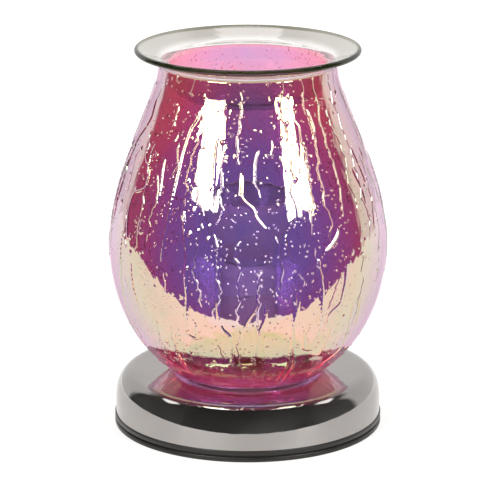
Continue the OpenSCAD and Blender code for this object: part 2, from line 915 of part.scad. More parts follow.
base_shell();
foot_ring();
base_plate();
base_pillars();
plate_screws();
cord_gland();
centre_tube();
touch_tag();
lock_washer();
lower_nut();
lower_gasket();
centring_bush();
glass_shade();
upper_gasket();
clamp_disc();
upper_nut();
lamp_bracket();
bracket_nut();
holder_cover();
holder_body();
holder_contacts();
holder_screws();
lamp_cap();
lamp_pins();
lamp_reflector();
lamp_lens();
lamp_capsule();
lamp_seal();
lamp_filament();
dish();
dimmer_case();
dimmer_lid();
dimmer_board();
choke_core();
choke_coil();
dimmer_capacitor();
dimmer_triac();
dimmer_chip();
case_screws();
terminal_block();
terminal_inserts();
terminal_screws();
block_screw();
live_lead();
neutral_lead();
lamp_live_lead();
lamp_neutral_lead();
touch_lead();
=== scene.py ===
# %% [markdown]
# # Finishing a wax-melt lamp around its engineering model
#
# The engineering model holds every real part of this lamp: a loose glass
# dish, a blown glass shade with a petrol lustre, a chromed base on a black
# foot ring, and the works inside. Its parts arrive here as a fixed frame.
# This lesson adds the camera, the studio, finer meshes for the four parts
# that the eye meets first, and a procedural finish for every part.

import json
import math
import random

import bmesh
import bpy
import numpy as np
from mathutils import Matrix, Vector, kdtree


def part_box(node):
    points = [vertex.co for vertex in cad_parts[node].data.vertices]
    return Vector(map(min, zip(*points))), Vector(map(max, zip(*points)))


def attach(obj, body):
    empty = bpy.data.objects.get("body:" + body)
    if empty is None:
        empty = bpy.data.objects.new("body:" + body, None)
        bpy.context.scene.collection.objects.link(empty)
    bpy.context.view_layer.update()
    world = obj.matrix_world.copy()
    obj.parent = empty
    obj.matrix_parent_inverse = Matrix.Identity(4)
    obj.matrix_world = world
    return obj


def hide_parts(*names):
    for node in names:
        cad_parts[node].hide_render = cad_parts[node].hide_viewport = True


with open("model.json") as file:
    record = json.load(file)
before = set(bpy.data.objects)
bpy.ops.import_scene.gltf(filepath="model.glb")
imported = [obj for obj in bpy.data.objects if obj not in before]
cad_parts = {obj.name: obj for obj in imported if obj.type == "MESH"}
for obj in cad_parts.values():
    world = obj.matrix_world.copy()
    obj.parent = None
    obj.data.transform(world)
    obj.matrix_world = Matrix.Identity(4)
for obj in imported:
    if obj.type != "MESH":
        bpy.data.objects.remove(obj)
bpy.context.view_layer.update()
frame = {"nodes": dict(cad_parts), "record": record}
nodes = frame["nodes"]
MM = 0.001

# %% [markdown]
# ## Camera
#
# A product shot is taken from far off with a long lens, a little above the
# object, so that the round base shows as a shallow oval and nothing looks
# swollen. A lens of 221 mm at 1.4 m does that. The camera looks level
# across the lamp and is tipped down by just under 16 degrees.

# %% Place the camera
CAMERA_AT, TIPPED_DOWN = (-0.00136, -1.4009, 0.4815), math.radians(15.68)
LENS, SENSOR = 220.9, 36
bpy.ops.object.select_all(action="DESELECT")
bpy.ops.object.camera_add(
    location=CAMERA_AT, rotation=(math.pi / 2 - TIPPED_DOWN, 0, 0)
)
camera = bpy.context.object
camera.data.lens, camera.data.sensor_width = LENS, SENSOR
camera.data.clip_start = 0.05
bpy.context.scene.camera = camera
print("camera at", tuple(camera.location))

# %% [markdown]
# ## Shader maths as plain expressions
#
# A material is a small network of nodes. Writing each link by hand hides the
# idea, so one class wraps an output socket and lets Python's own signs add
# the Math nodes. Every other node comes from one method.


# %% A socket that does sums
class Wire:
    """An output socket, with Python's arithmetic for its Math nodes."""

    def __init__(self, tree, socket):
        self.tree, self.socket = tree, socket

    def node(self, kind, settings=None, out=0, stops=None, **values):
        """Adds a node. Settings and ramp stops come first, then sockets."""
        made = self.tree.nodes.new("ShaderNode" + kind)
        for name, value in (settings or {}).items():
            setattr(made, name, value)
        if stops:
            ramp = made.color_ramp.elements
            while len(ramp) < len(stops):
                ramp.new(0.5)
            for mark, (at, colour) in zip(ramp, stops):
                mark.position = at
                mark.color = (*colour, 1) if len(colour) == 3 else colour
        for name, value in values.items():
            self.put(made, name, value)
        return Wire(self.tree, made.outputs[out])

    def put(self, made, name, value):
        """Links or sets one socket, named with _ for a space, or by number."""
        key = int(name[1:]) if name[0] == "_" else name.replace("_", " ")
        target = made.inputs[key]
        if isinstance(value, Wire):
            self.tree.links.new(value.socket, target)
        else:
            target.default_value = value

    def sums(self, operation, *terms):
        """A Math node that does one operation on these terms."""
        values = {f"_{i}": term for i, term in enumerate(terms)}
        return self.node("Math", {"operation": operation}, **values)

    def __add__(self, other):
        return self.sums("ADD", self, other)

    def __sub__(self, other):
        return self.sums("SUBTRACT", self, other)

    def __rsub__(self, other):
        return self.sums("SUBTRACT", other, self)

    def __mul__(self, other):
        return self.sums("MULTIPLY", self, other)

    __radd__, __rmul__ = __add__, __mul__

    def most(self, other):
        return self.sums("MAXIMUM", self, other)

    def span(self, low, high, to_low=0.0, to_high=1.0):
        """Carries low..high onto to_low..to_high, held at both ends."""
        return self.node("MapRange", {"interpolation_type": "SMOOTHSTEP"},
                         _0=self, _1=low, _2=high, _3=to_low, _4=to_high)

    def ramp(self, *stops):
        return self.node("ValToRGB", stops=stops, _0=self)

    def mixed(self, first, second):
        """Mixes two colours by this value. Either may be a link."""
        return self.node("Mix", {"data_type": "RGBA"}, 2, _0=self, _6=first, _7=second)

    def tint(self, dark, light):
        """Mixes two plain colours by this value."""
        return self.mixed((*dark, 1), (*light, 1))

    def parts(self):
        """The x, y and z of these coordinates."""
        split = self.node("SeparateXYZ", _0=self).socket.node
        return [Wire(self.tree, output) for output in split.outputs]

    def off_axis(self):
        """How far a point is from the lamp's upright axis."""
        x, y, z = self.parts()
        return self.sums("SQRT", x * x + y * y)

    def stretched(self, x, y, z):
        """These coordinates, scaled along each axis."""
        return self.node("Mapping", _0=self, _3=(x, y, z))

    def noise(self, size, detail=3.0, rough=0.5):
        """Noise with patches about size metres across, from 0 to 1."""
        return self.node("TexNoise", Vector=self, Scale=1 / size,
                         Detail=detail, Roughness=rough)

    def bump(self, height, depth, **more):
        """A normal from a height between 0 and 1, depth metres deep."""
        return self.node("Bump", Height=height, Distance=depth,
                         Strength=1.0, **more)

    def principled(self, **values):
        return self.node("BsdfPrincipled", **values)


def finish(name, recipe):
    """A new material. recipe gets Object coordinates, gives a shader."""
    material = bpy.data.materials.new(name)
    material.use_nodes = True
    tree = material.node_tree
    tree.nodes.clear()
    place = tree.nodes.new("ShaderNodeTexCoord")
    result = recipe(Wire(tree, place.outputs["Object"]))
    surface, volume = result if isinstance(result, tuple) else (result, None)
    end = tree.nodes.new("ShaderNodeOutputMaterial")
    tree.links.new(surface.socket, end.inputs["Surface"])
    if volume:
        tree.links.new(volume.socket, end.inputs["Volume"])
    return material


print("helper ready")

# %% [markdown]
# ## Studio
#
# Lustre glass and chrome show their surroundings more than themselves. The
# set is a round white table with its front edge just before the lamp, a
# dark room in front, a pale wall behind, and two tall softboxes, left and
# right of the camera. The wall and the room are the world's colour, split
# by direction, and a bright strip above the wall draws a line along the
# chrome's shoulder. What is seen directly, or through glass, is white all
# round, as on a table that is lit from every side. The works inside the
# shade would be black shapes behind the lustre, so they get a fill light of
# their own by light linking.

# %% World: dark in front, pale behind
DARK_ROOM, PALE_WALL, STRIP, WHITE = 0.032, 0.90, 2.5, 1.12
WALL_TURN = math.radians(9)
world = bpy.data.worlds.new("studio")
world.use_nodes = True
bpy.context.scene.world = world
tree = world.node_tree
tree.nodes.clear()
toward = Wire(tree, tree.nodes.new("ShaderNodeTexCoord").outputs["Generated"])
across, back, height = toward.parts()
behind = back * math.cos(WALL_TURN) + across * math.sin(WALL_TURN)
wall = behind.span(0.36, 0.50) * height.span(0.60, 0.72, 1.0, 0.0)
band = height.span(0.74, 0.76) * height.span(0.83, 0.85, 1.0, 0.0)
strip = back.span(0.10, 0.20) * band
room = wall * (PALE_WALL - DARK_ROOM) + strip * STRIP + DARK_ROOM
path = tree.nodes.new("ShaderNodeLightPath")
seen = Wire(tree, path.outputs["Is Camera Ray"])
through = Wire(tree, path.outputs["Is Transmission Ray"])
plain = seen.most(through)
light = plain * WHITE + (1 - plain) * room
sky = toward.node("Background", Color=(1.0, 0.985, 0.975, 1), Strength=light)
end = tree.nodes.new("ShaderNodeOutputWorld")
tree.links.new(sky.socket, end.inputs["Surface"])
print("world ready")


# %% Two tall softboxes
def softbox(name, centre, width, tall, glow):
    """An area light of that size that faces the lamp's shade."""
    toward = Vector((0, 0, 0.1)) - Vector(centre)
    bpy.ops.object.light_add(
        type="AREA", location=centre,
        rotation=toward.to_track_quat("-Z", "Y").to_euler(),
    )
    box = bpy.context.object
    box.name = name
    box.data.shape = "RECTANGLE"
    box.data.size, box.data.size_y = width, tall
    box.data.energy = glow * math.pi * width * tall
    box.visible_camera = False
    return box


GLOW = 10.0
softboxes = [
    softbox("softbox_left", (-0.93, -1.07, 1.14), 0.76, 1.15, GLOW),
    softbox("softbox_right", (1.05, -0.99, 1.04), 0.62, 1.15, GLOW),
]
print("softboxes ready")

# %% A fill light for what stands inside the shade
FILL, ABOVE_SHELL = 1.5, 0.0265
bpy.ops.object.light_add(type="SUN", rotation=(math.radians(66), 0, math.radians(6)))
fill = bpy.context.object
fill.name = "fill_inside"
fill.data.energy, fill.data.angle = FILL, math.radians(30)
INSIDE = [
    part["node"] for part in frame["record"]["subparts"]
    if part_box(part["node"])[0].z > ABOVE_SHELL
    and part["node"] not in ("glass_shade", "dish")
]
lit = bpy.data.collections.new("lit_through_the_glass")
for name in INSIDE:
    lit.objects.link(nodes[name])
fill.light_linking.receiver_collection = lit
fill.light_linking.blocker_collection = lit
print("fill light reaches", INSIDE)

# %% The round white table
TABLE_R, TABLE_Y = 0.8, 0.663
bpy.ops.object.select_all(action="DESELECT")
bpy.ops.mesh.primitive_circle_add(
    vertices=160, radius=TABLE_R, fill_type="NGON", location=(0, TABLE_Y, 0)
)
table = bpy.context.object
table.name = "table"
bpy.ops.object.transform_apply(location=True, rotation=True, scale=True)


def white_table(place):
    mottle = place.noise(0.05)
    away = place.parts()[1].span(-0.1, 0.5)
    return place.principled(
        Base_Color=mottle.tint((0.23, 0.228, 0.225), (0.27, 0.267, 0.264)),
        Roughness=mottle.span(0.3, 0.7, 0.6, 0.7),
        Emission_Color=away.tint((0.80, 0.79, 0.775), (1.0, 0.99, 0.975)),
        Emission_Strength=0.98,
    )


table.data.materials.append(finish("white_table", white_table))
print("table front edge at y =", TABLE_Y - TABLE_R)

# %% [markdown]
# ## Turning a profile
#
# The dish, the shade, the base and its ring are all bodies of revolution:
# pressed, blown or turned. Each is made as on a lathe. A tiny plane is
# merged to one point, the point is extruded along half of the section, and
# the outline is spun round the upright axis. Merging doubles closes the
# seam, and then the normals are made to point outwards.


# %% A lathe, and the curves that feed it
def turned(name, outline, steps):
    """Spins an outline of (radius, height) in millimetres into a solid."""
    bpy.ops.object.select_all(action="DESELECT")
    bpy.ops.mesh.primitive_plane_add(size=MM)
    piece = bpy.context.object
    piece.name = piece.data.name = name
    bpy.ops.object.mode_set(mode="EDIT")
    bpy.ops.mesh.select_mode(type="VERT")
    bpy.ops.mesh.select_all(action="SELECT")
    bpy.ops.mesh.merge(type="CENTER")
    bpy.ops.transform.translate(value=(outline[0][0] * MM, 0, outline[0][1] * MM))
    for (r0, z0), (r1, z1) in zip(outline, outline[1:]):
        step = ((r1 - r0) * MM, 0, (z1 - z0) * MM)
        bpy.ops.mesh.extrude_region_move(TRANSFORM_OT_translate={"value": step})
    bpy.ops.mesh.select_all(action="SELECT")
    bpy.ops.mesh.spin(steps=steps, angle=2 * math.pi, center=(0, 0, 0), axis=(0, 0, 1))
    bpy.ops.mesh.select_all(action="SELECT")
    bpy.ops.mesh.remove_doubles(threshold=0.002 * MM)
    bpy.ops.mesh.normals_make_consistent(inside=False)
    bpy.ops.object.mode_set(mode="OBJECT")
    return piece


def bezier(p0, p1, p2, p3, steps):
    """Points on a cubic curve, both ends included."""
    t = np.linspace(0, 1, steps + 1)[:, None]
    a, b, c, d = (np.array(p, float) for p in (p0, p1, p2, p3))
    u = 1 - t
    points = u**3 * a + 3 * u**2 * t * b + 3 * u * t * t * c + t**3 * d
    return [tuple(p) for p in points]


def evenly(path, gap):
    """The same path with points about gap apart."""
    path = np.array(path, float)
    run = np.concatenate([[0], np.cumsum(np.hypot(*np.diff(path, axis=0).T))])
    at = np.linspace(0, run[-1], max(2, round(run[-1] / gap) + 1))
    across, up = (np.interp(at, run, path[:, i]) for i in (0, 1))
    return [(float(r), float(z)) for r, z in zip(across, up)]


def beside(path, gap):
    """The path moved gap to its left."""
    path = np.array(path, float)
    along = np.gradient(path, axis=0)
    along /= np.hypot(along[:, 0], along[:, 1])[:, None]
    moved = path + gap * np.stack([-along[:, 1], along[:, 0]], 1)
    return [tuple(p) for p in moved]


def arc(centre, r, start, stop, steps=8):
    """Points on a circle, from start to stop in degrees."""
    angles = [math.radians(start + (stop - start) * i / steps) for i in range(steps + 1)]
    return [(centre[0] + r * math.cos(a), centre[1] + r * math.sin(a)) for a in angles]


def smooth(piece, angle):
    """Shades the piece smooth, apart from edges sharper than angle."""
    bpy.ops.object.select_all(action="DESELECT")
    piece.select_set(True)
    bpy.context.view_layer.objects.active = piece
    bpy.ops.object.shade_smooth_by_angle(angle=math.radians(angle))


print("lathe ready")

# %% [markdown]
# ## Shade: the outline
#
# The shade is blown into a mould, so its outline flows without a corner
# from a narrow foot through a low belly to a leaning neck. Two cubic curves
# that meet level at the belly give that. The engineering model holds the
# same rule, so only its heights are read from the frame. The bare skin
# lies a little inside the engineering outline, which leaves room for the
# raised runs.

# %% Outline of the shade
shade_low, shade_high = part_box("glass_shade")
FOOT_Z = shade_low.z / MM
LIP_R, WALL = 1.5, 3.0
LIP_Z = shade_high.z / MM - LIP_R
BELLY = (shade_high.x / MM, FOOT_Z + 63.3)
FOOT_R, MOUTH_R, HOLE_R = 36.35, 42.6, 20.0
SKIN_DROP = 0.45
foot_pull = 0.43 * (BELLY[0] - FOOT_R)
upper = LIP_Z - BELLY[1]
rise, lean = math.radians(31), math.radians(8)
lower_half = bezier(
    (FOOT_R, FOOT_Z),
    (FOOT_R + foot_pull * math.cos(rise), FOOT_Z + foot_pull * math.sin(rise)),
    (BELLY[0], BELLY[1] - 0.58 * 63.3), BELLY, 60,
)
upper_half = bezier(
    BELLY, (BELLY[0], BELLY[1] + 0.377 * upper),
    (MOUTH_R + 0.222 * upper * math.sin(lean), LIP_Z - 0.222 * upper * math.cos(lean)),
    (MOUTH_R, LIP_Z), 60,
)
SKIN_GAP = 1.65
true_side = evenly(lower_half + upper_half[1:], SKIN_GAP)
dropped = beside(true_side, SKIN_DROP)
ends = [min(1, min(i, len(true_side) - 1 - i) / 4) for i in range(len(true_side))]
skin = [
    (t[0] + e * (d[0] - t[0]), t[1] + e * (d[1] - t[1]))
    for t, d, e in zip(true_side, dropped, ends)
]
inner = [
    p for p in evenly(beside(lower_half + upper_half[1:], WALL), 4.2)
    if FOOT_Z + WALL + 0.3 < p[1] < LIP_Z - 0.3
]
shade_outline = (
    skin + arc((MOUTH_R - LIP_R, LIP_Z), LIP_R, 20, 160, 7)
    + [(MOUTH_R - WALL, LIP_Z)] + inner[::-1]
    + [(inner[0][0] - 1, FOOT_Z + WALL), (HOLE_R, FOOT_Z + WALL), (HOLE_R, FOOT_Z),
       (FOOT_R, FOOT_Z)]
)
shade = turned("lustre_shade", shade_outline, 256)
print("shade outline", len(shade_outline), "faces", len(shade.data.polygons))

# %% [markdown]
# ## Shade: runs and drops
#
# Threads and drops of molten glass are trailed over the hot shade, and they
# sink until only low ridges stand out, like rain that has frozen on a
# window. Each thread falls, wavers, sometimes kinks, and may curl at its
# end. The threads are drawn as chains of points on the skin. The skin is
# then subdivided only near them, so that the mesh is fine where it has to
# be, and a Displace modifier lifts it by a weight that is worked out from
# the distance to the nearest thread or drop. Seeding the dice keeps every
# run the same.

# %% Draw the threads and drops
THREADS, DROPS, KINKED, CURL_RUN = 80, 500, 0.12, 7
dice = random.Random(41)
skin_run = np.concatenate([[0], np.cumsum(np.hypot(*np.diff(np.array(skin), axis=0).T))])
skin_r, skin_z = np.array(skin).T


def on_skin(along, turn):
    """A point on the skin: millimetres up from the foot, and an angle."""
    r = float(np.interp(along, skin_run, skin_r))
    z = float(np.interp(along, skin_run, skin_z))
    return Vector((r * math.cos(turn), r * math.sin(turn), z)) * MM, r


def thread(along, turn, length, width):
    """A chain of (point, half width), running down from the start."""
    step = 0.5
    chain, heading, target, hold = [], dice.uniform(-0.2, 0.2), 0.0, 0.0
    curl = dice.choice((0, 0, 0, 0, 0, 1, -1)) * dice.uniform(0.8, 1.7)
    total = int(length / step)
    for i in range(total):
        if hold <= 0:
            hold = dice.uniform(3, 12)
            target = dice.gauss(0, 0.20)
            if dice.random() < KINKED:
                target += dice.choice((-0.8, 0.8))
        left = (total - i) * step
        if curl and left < CURL_RUN:
            target = curl * 1.6
        heading += (target - heading) * (0.30 if left < CURL_RUN else 0.16)
        hold -= step
        along -= step * math.cos(heading)
        if not 4 < along < skin_run[-1] - 5:
            break
        point, r = on_skin(along, turn)
        turn += step * math.sin(heading) / r
        ends = min(1, (i + 2) / 8, (left + 1) / 5)
        chain.append((point, width * (0.55 + 0.45 * ends)))
    return chain


threads, drops = [], []
for i in range(THREADS):
    turn = 2 * math.pi * (i + dice.uniform(-0.45, 0.45)) / THREADS
    start = dice.uniform(0.25, 1.0) * (skin_run[-1] - 6)
    length = dice.choice((dice.uniform(8, 26), dice.uniform(25, 75)))
    chain = thread(start, turn, length, dice.uniform(0.60, 0.82))
    if len(chain) > 8:
        threads.append(chain)
for i in range(DROPS):
    along = skin_run[-1] * (0.06 + 0.9 * dice.random())
    size = 0.42 + 0.75 * dice.random() ** 4
    drops.append((on_skin(along, dice.uniform(0, 2 * math.pi))[0], size))
print("threads", len(threads), "of", sum(map(len, threads)) / 2, "mm, drops", len(drops))


# %% Look up the nearest thread and drop
def tree_of(marks):
    tree = kdtree.KDTree(len(marks))
    for i, (point, size) in enumerate(marks):
        tree.insert(point, i)
    tree.balance()
    return tree


thread_marks = [mark for chain in threads for mark in chain]
thread_tree, drop_tree = tree_of(thread_marks), tree_of(drops)


def reach(point):
    """How far outside the nearest thread or drop a point is, in mm."""
    best = 99.0
    for tree, marks, count in ((thread_tree, thread_marks, 1), (drop_tree, drops, 2)):
        for at, index, away in tree.find_n(point, count):
            best = min(best, away / MM - marks[index][1])
    return best


def raised(point):
    """Height of the skin at a point, from 0 to 1."""
    at, index, away = thread_tree.find(point)
    width = thread_marks[index][1]
    share = away / MM / width
    best = math.cos(share * math.pi / 2) ** 1.3 * width if share < 1 else 0.0
    for at, index, away in drop_tree.find_n(point, 2):
        size = drops[index][1]
        share = away / MM / size
        if share < 1:
            best = max(best, math.sqrt(1 - share * share) * min(1, 0.15 + 0.6 * size))
    return min(best, 1.0)


def outside(point):
    """True for a point on the shade's outer skin, clear of its ends."""
    r, z = math.hypot(point.x, point.y) / MM, point.z / MM
    return FOOT_Z + 0.5 < z < LIP_Z - 2 and r > np.interp(z, skin_z, skin_r) - 1.2


print("reach at the belly", round(reach(Vector((BELLY[0] * MM, 0, BELLY[1] * MM))), 2))

# %% Subdivide near them, then lift the skin
bpy.context.view_layer.objects.active = shade
bpy.ops.object.mode_set(mode="EDIT")
bpy.ops.mesh.select_mode(type="FACE")
for edge in (1.7, 0.85):
    bpy.ops.mesh.select_all(action="DESELECT")
    mesh = bmesh.from_edit_mesh(shade.data)
    for face in mesh.faces:
        middle = face.calc_center_median()
        size = math.sqrt(face.calc_area()) / MM
        if size > edge * 0.45 and outside(middle) and reach(middle) < edge * 0.54:
            face.select_set(True)
    bmesh.update_edit_mesh(shade.data)
    bpy.ops.mesh.subdivide(number_cuts=1)
    print("faces after subdividing", len(shade.data.polygons))
bpy.ops.object.mode_set(mode="OBJECT")
RAISED = 0.58
lift = shade.vertex_groups.new(name="raised")
for vertex in shade.data.vertices:
    if outside(vertex.co):
        weight = raised(vertex.co)
        if weight > 0.004:
            lift.add([vertex.index], weight, "REPLACE")
bpy.ops.object.select_all(action="DESELECT")
shade.select_set(True)
displace = shade.modifiers.new("lift", "DISPLACE")
displace.vertex_group, displace.direction = "raised", "NORMAL"
displace.mid_level, displace.strength = 0.0, RAISED * MM
bpy.ops.object.modifier_apply(modifier="lift")
shade.vertex_groups.clear()
smooth(shade, 80)
shade.data.calc_loop_triangles()
print("shade triangles", len(shade.data.loop_triangles))

# %% [markdown]
# ## Shade: petrol lustre
#
# A lustre is a metal-oxide film a few hundred nanometres thick, fired onto
# the glass. It mirrors gold and lets the rest through, so the glass behind
# it looks blue-violet. Tilted, the film works at a shorter wavelength:
# what passes turns magenta, then red, then pale pink at the rim. Two
# Principled shaders are mixed, one for what the film mirrors and one for
# what it lets through, and both take their colour from how far the surface
# is turned away. The film is thinner towards the neck, which shifts the
# colours there. Tiny beads, faint flow lines and the finest trails, too
# slight for the mesh, come from a bump. Seen from inside, the film mirrors
# little and the trails are left out. The thick foot gets a painted glow:
# a reddish emission, though it is no lamp, brightens it.


# %% Fine trails between the raised threads
TRAILS, TRAIL_HALF = 44, 0.00066


def trails(place):
    """Fine threads that run down the glass, as a height from 0 to 1."""
    x, y, z = place.parts()
    lanes = y.sums("ARCTAN2", y, x) * (TRAILS / (2 * math.pi))
    lane = lanes.sums("FLOOR", lanes)
    along = place.node("CombineXYZ", _0=lane * 7.3, _1=lane * 3.1, _2=z)
    sway = (along.noise(0.013, 2) - 0.5) * 1.5
    kept = (along.noise(0.034, 1) + z.span(0.05, 0.11, -0.08, 0.0)).span(0.50, 0.55)
    lane_width = place.off_axis() * (2 * math.pi / TRAILS)
    aside = y.sums("ABSOLUTE", lanes - lane - 0.5 - sway) * lane_width
    return aside.span(0.0, TRAIL_HALF, 1.0, 0.0) * kept


# %% Lustre and plain glass for the shade
def lustre(place):
    tilt = place.node("LayerWeight", out=1, Blend=0.5)
    flow = place.stretched(1, 1, 0.22).noise(0.006, 4)
    cloud = place.noise(0.03, 2)
    height = place.parts()[2]
    thinner = height.span(0.085, 0.180, 0.0, 0.15)
    inward = place.node("NewGeometry", out=6)
    neck = inward * height.span(0.115, 0.150)
    patchy = (cloud - 0.5) * 0.10 + (flow - 0.5) * 0.03
    turned_away = tilt + thinner + neck * 0.05 + patchy
    passes = turned_away.ramp(
        (0.00, (0.24, 0.12, 0.58)), (0.10, (0.28, 0.11, 0.56)),
        (0.20, (0.50, 0.075, 0.46)), (0.30, (0.88, 0.055, 0.28)),
        (0.42, (1.00, 0.055, 0.14)), (0.60, (1.00, 0.09, 0.15)),
        (0.80, (0.85, 0.26, 0.42)), (1.00, (0.80, 0.45, 0.60)),
    )
    mirrors = turned_away.ramp(
        (0.00, (1.00, 0.97, 0.92)), (0.10, (1.00, 0.92, 0.76)),
        (0.18, (1.00, 0.80, 0.32)), (0.25, (0.92, 0.84, 0.40)),
        (0.36, (0.74, 0.83, 0.47)),
        (0.47, (0.64, 0.90, 0.54)), (0.62, (0.64, 0.88, 0.72)),
        (0.80, (0.78, 0.76, 0.84)), (1.00, (0.80, 0.64, 0.74)),
    )
    pits = place.node("TexVoronoi", Vector=place, Scale=460)
    beads = pits.span(0.10, 0.26, 1.0, 0.0) * place.noise(0.009, 1).span(0.46, 0.55)
    wave = place.stretched(1, 1, 0.35).noise(0.010, 2)
    outer = trails(place) * (1 - inward)
    runs = place.bump(outer, 0.00036, Normal=place.bump(wave, 0.0005))
    shape = place.bump(beads, 0.00028, Normal=runs)
    # Painted glow: a reddish emission on the thick foot, which is no lamp.
    painted_foot_glow = height.span(0.027, 0.046, 1.0, 0.0)
    washed = (neck * 0.12).mixed(passes, (0.80, 0.70, 0.80, 1))
    glass = place.principled(
        Base_Color=washed, Roughness=0.02, IOR=1.5,
        Transmission_Weight=1.0, Normal=shape,
        Emission_Color=painted_foot_glow.tint((0.0, 0.0, 0.0), (0.46, 0.040, 0.11)),
        Emission_Strength=1.0,
    )
    film = place.principled(
        Base_Color=mirrors, Metallic=1.0, Specular_Tint=(0.72, 0.56, 0.66, 1),
        Roughness=flow.span(0.3, 0.7, 0.015, 0.04), Normal=shape,
    )
    share = (0.60 + turned_away.span(0.60, 0.90, 0.0, 0.28)) * (1 - inward * 0.95)
    return place.node("MixShader", _0=share, _1=glass, _2=film)


def plain_glass(place):
    ripple = place.noise(0.02, 2)
    return place.principled(
        Base_Color=ripple.tint((0.98, 0.99, 0.985), (1.0, 1.0, 1.0)),
        Roughness=0.0, IOR=1.5, Transmission_Weight=1.0,
        Normal=place.bump(ripple, 0.0004),
    )


shade.data.materials.append(finish("petrol_lustre", lustre))
shade.data.materials.append(finish("shade_inside", plain_glass))
for face in shade.data.polygons:
    r, z = math.hypot(face.center.x, face.center.y) / MM, face.center.z / MM
    face.material_index = 0 if r > np.interp(z, skin_z, skin_r) - 1.5 else 1
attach(shade, "base")
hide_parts("glass_shade")
print("lustre faces", sum(f.material_index == 0 for f in shade.data.polygons))

# %% [markdown]
# ## Dish
#
# The dish is pressed glass: a round well that drops into the shade's mouth
# and a wide rim that slopes up and rests on the lip. Its wall is the same
# thickness throughout, so the middle of the glass is drawn first, and both
# faces are laid beside it. The rim's edge is fire-polished to a half
# round. Clear glass has a little iron in it, which shows where the eye
# looks through a long way of it: that is a Volume Absorption. The edge
# gathers the most of it and gets a dark bottle colour. The rim is tinted
# grey, a painted shade that darkens it, with faint streaks, and the well is clear.

# %% Turn the dish
dish_low, dish_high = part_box("dish")
HALF, SLOPE, SEAT_GAP = 1.35, math.radians(20), 0.25
lip = (MOUTH_R - LIP_R, LIP_Z)
well_r = MOUTH_R - WALL - 0.7 - HALF
corner_z = (
    lip[1] + (LIP_R + SEAT_GAP + HALF) / math.cos(SLOPE)
    + (well_r - lip[0]) * math.tan(SLOPE)
)
floor_z, FLOOR_R = dish_low.z / MM + HALF, 18.0
edge_r = dish_high.x / MM - HALF
side_top = corner_z - 3
edge = (edge_r, corner_z + (edge_r - well_r) * math.tan(SLOPE))
bend_end = (well_r + 3 * math.cos(SLOPE), corner_z + 3 * math.sin(SLOPE))
well = bezier(
    (FLOOR_R, floor_z), (FLOOR_R + 0.62 * (well_r - FLOOR_R), floor_z),
    (well_r, floor_z + 0.45 * (side_top - floor_z)), (well_r, side_top), 22,
)
bend = [
    tuple((1 - t) ** 2 * np.array((well_r, side_top))
          + 2 * t * (1 - t) * np.array((well_r, corner_z)) + t * t * np.array(bend_end))
    for t in np.linspace(0, 1, 11)[1:]
]
rim = [
    tuple(np.array(bend_end) + t * (np.array(edge) - np.array(bend_end)))
    for t in (0.15, 0.5, 0.85, 1.0)
]
middle = [(FLOOR_R * t, floor_z) for t in (0.35, 0.7, 0.92)] + well + bend + rim
under, over = beside(middle, -HALF), beside(middle, HALF)
dish_outline = (
    [(0.0, floor_z - HALF)] + under[:-1]
    + arc(edge, HALF, 20 - 90, 20 + 90, 14) + over[:-1][::-1] + [(0.0, floor_z + HALF)]
)
dish = turned("wax_dish", dish_outline, 256)
smooth(dish, 60)
print("dish outline", len(dish_outline), "faces", len(dish.data.polygons))


# %% Clear glass with a trace of green
def clear_glass(place):
    ripple = place.noise(0.014, 2)
    wipe = place.stretched(1, 1, 3).noise(0.03, 4)
    out = place.off_axis()
    rim, bottle = out.span(0.040, 0.045), out.span(0.0520, 0.0532)
    # Painted shade: the rim is tinted grey to darken it; wipe streaks add a little.
    rim_shade_and_streaks = rim * 0.92 + wipe.span(0.3, 0.7, 0.0, 0.08)
    colour = rim_shade_and_streaks.tint((0.95, 0.93, 0.93), (0.55, 0.525, 0.495))
    surface = place.principled(
        Base_Color=bottle.mixed(colour, (0.125, 0.125, 0.080, 1)),
        Roughness=wipe.span(0.35, 0.7, 0.0, 0.035), IOR=1.5,
        Transmission_Weight=1.0, Normal=place.bump(ripple, 0.00012),
    )
    depth = place.node("VolumeAbsorption", Color=(0.56, 0.60, 0.42, 1), Density=22.0)
    return surface, depth


dish.data.materials.append(finish("clear_glass", clear_glass))
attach(dish, "dish")
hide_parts("dish")

# %% [markdown]
# ## Chromed base
#
# The base is one steel pressing with a flat top and a full round shoulder,
# polished and chromed. Mirror chrome shows any flat in the mesh, so its
# shoulder gets far more points than the engineering model has, and rings
# close to where the flat top begins keep the flat truly flat in smooth
# shading. Fingers leave cloudy smears, which mirror less. The softboxes are
# unlinked from the shell and the dish, as a studio flags a light off one
# object while it shines on the next.

# %% Turn the shell
shell_low, shell_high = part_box("base_shell")
BASE_R, BASE_H, RING_H = shell_high.x / MM, shell_high.z / MM, shell_low.z / MM
SHOULDER_W, SHOULDER_H, POWER, SHEET = 10.7, 16.5, 2.7, 1.0


def shell_side(inset, steps):
    """The shell's wall and shoulder, moved in by inset."""
    side = [(BASE_R - inset, RING_H), (BASE_R - inset, RING_H + 1.0)]
    for i in range(steps + 1):
        a = math.pi / 2 * i / steps
        side.append((
            BASE_R - SHOULDER_W + (SHOULDER_W - inset) * max(math.cos(a), 0) ** (2 / POWER),
            BASE_H - SHOULDER_H + (SHOULDER_H - inset) * math.sin(a) ** (2 / POWER),
        ))
    return side


TUBE_HOLE_R = 5.2
flat = [(BASE_R - SHOULDER_W - 0.6, BASE_H), (BASE_R - SHOULDER_W - 2.5, BASE_H),
        (30, BASE_H), (TUBE_HOLE_R, BASE_H), (TUBE_HOLE_R, BASE_H - SHEET)]
shell_outline = (
    shell_side(0, 44) + flat + shell_side(SHEET, 16)[::-1] + [(BASE_R, RING_H)]
)
shell = turned("chrome_shell", shell_outline, 200)
smooth(shell, 40)
print("shell outline", len(shell_outline), "faces", len(shell.data.polygons))


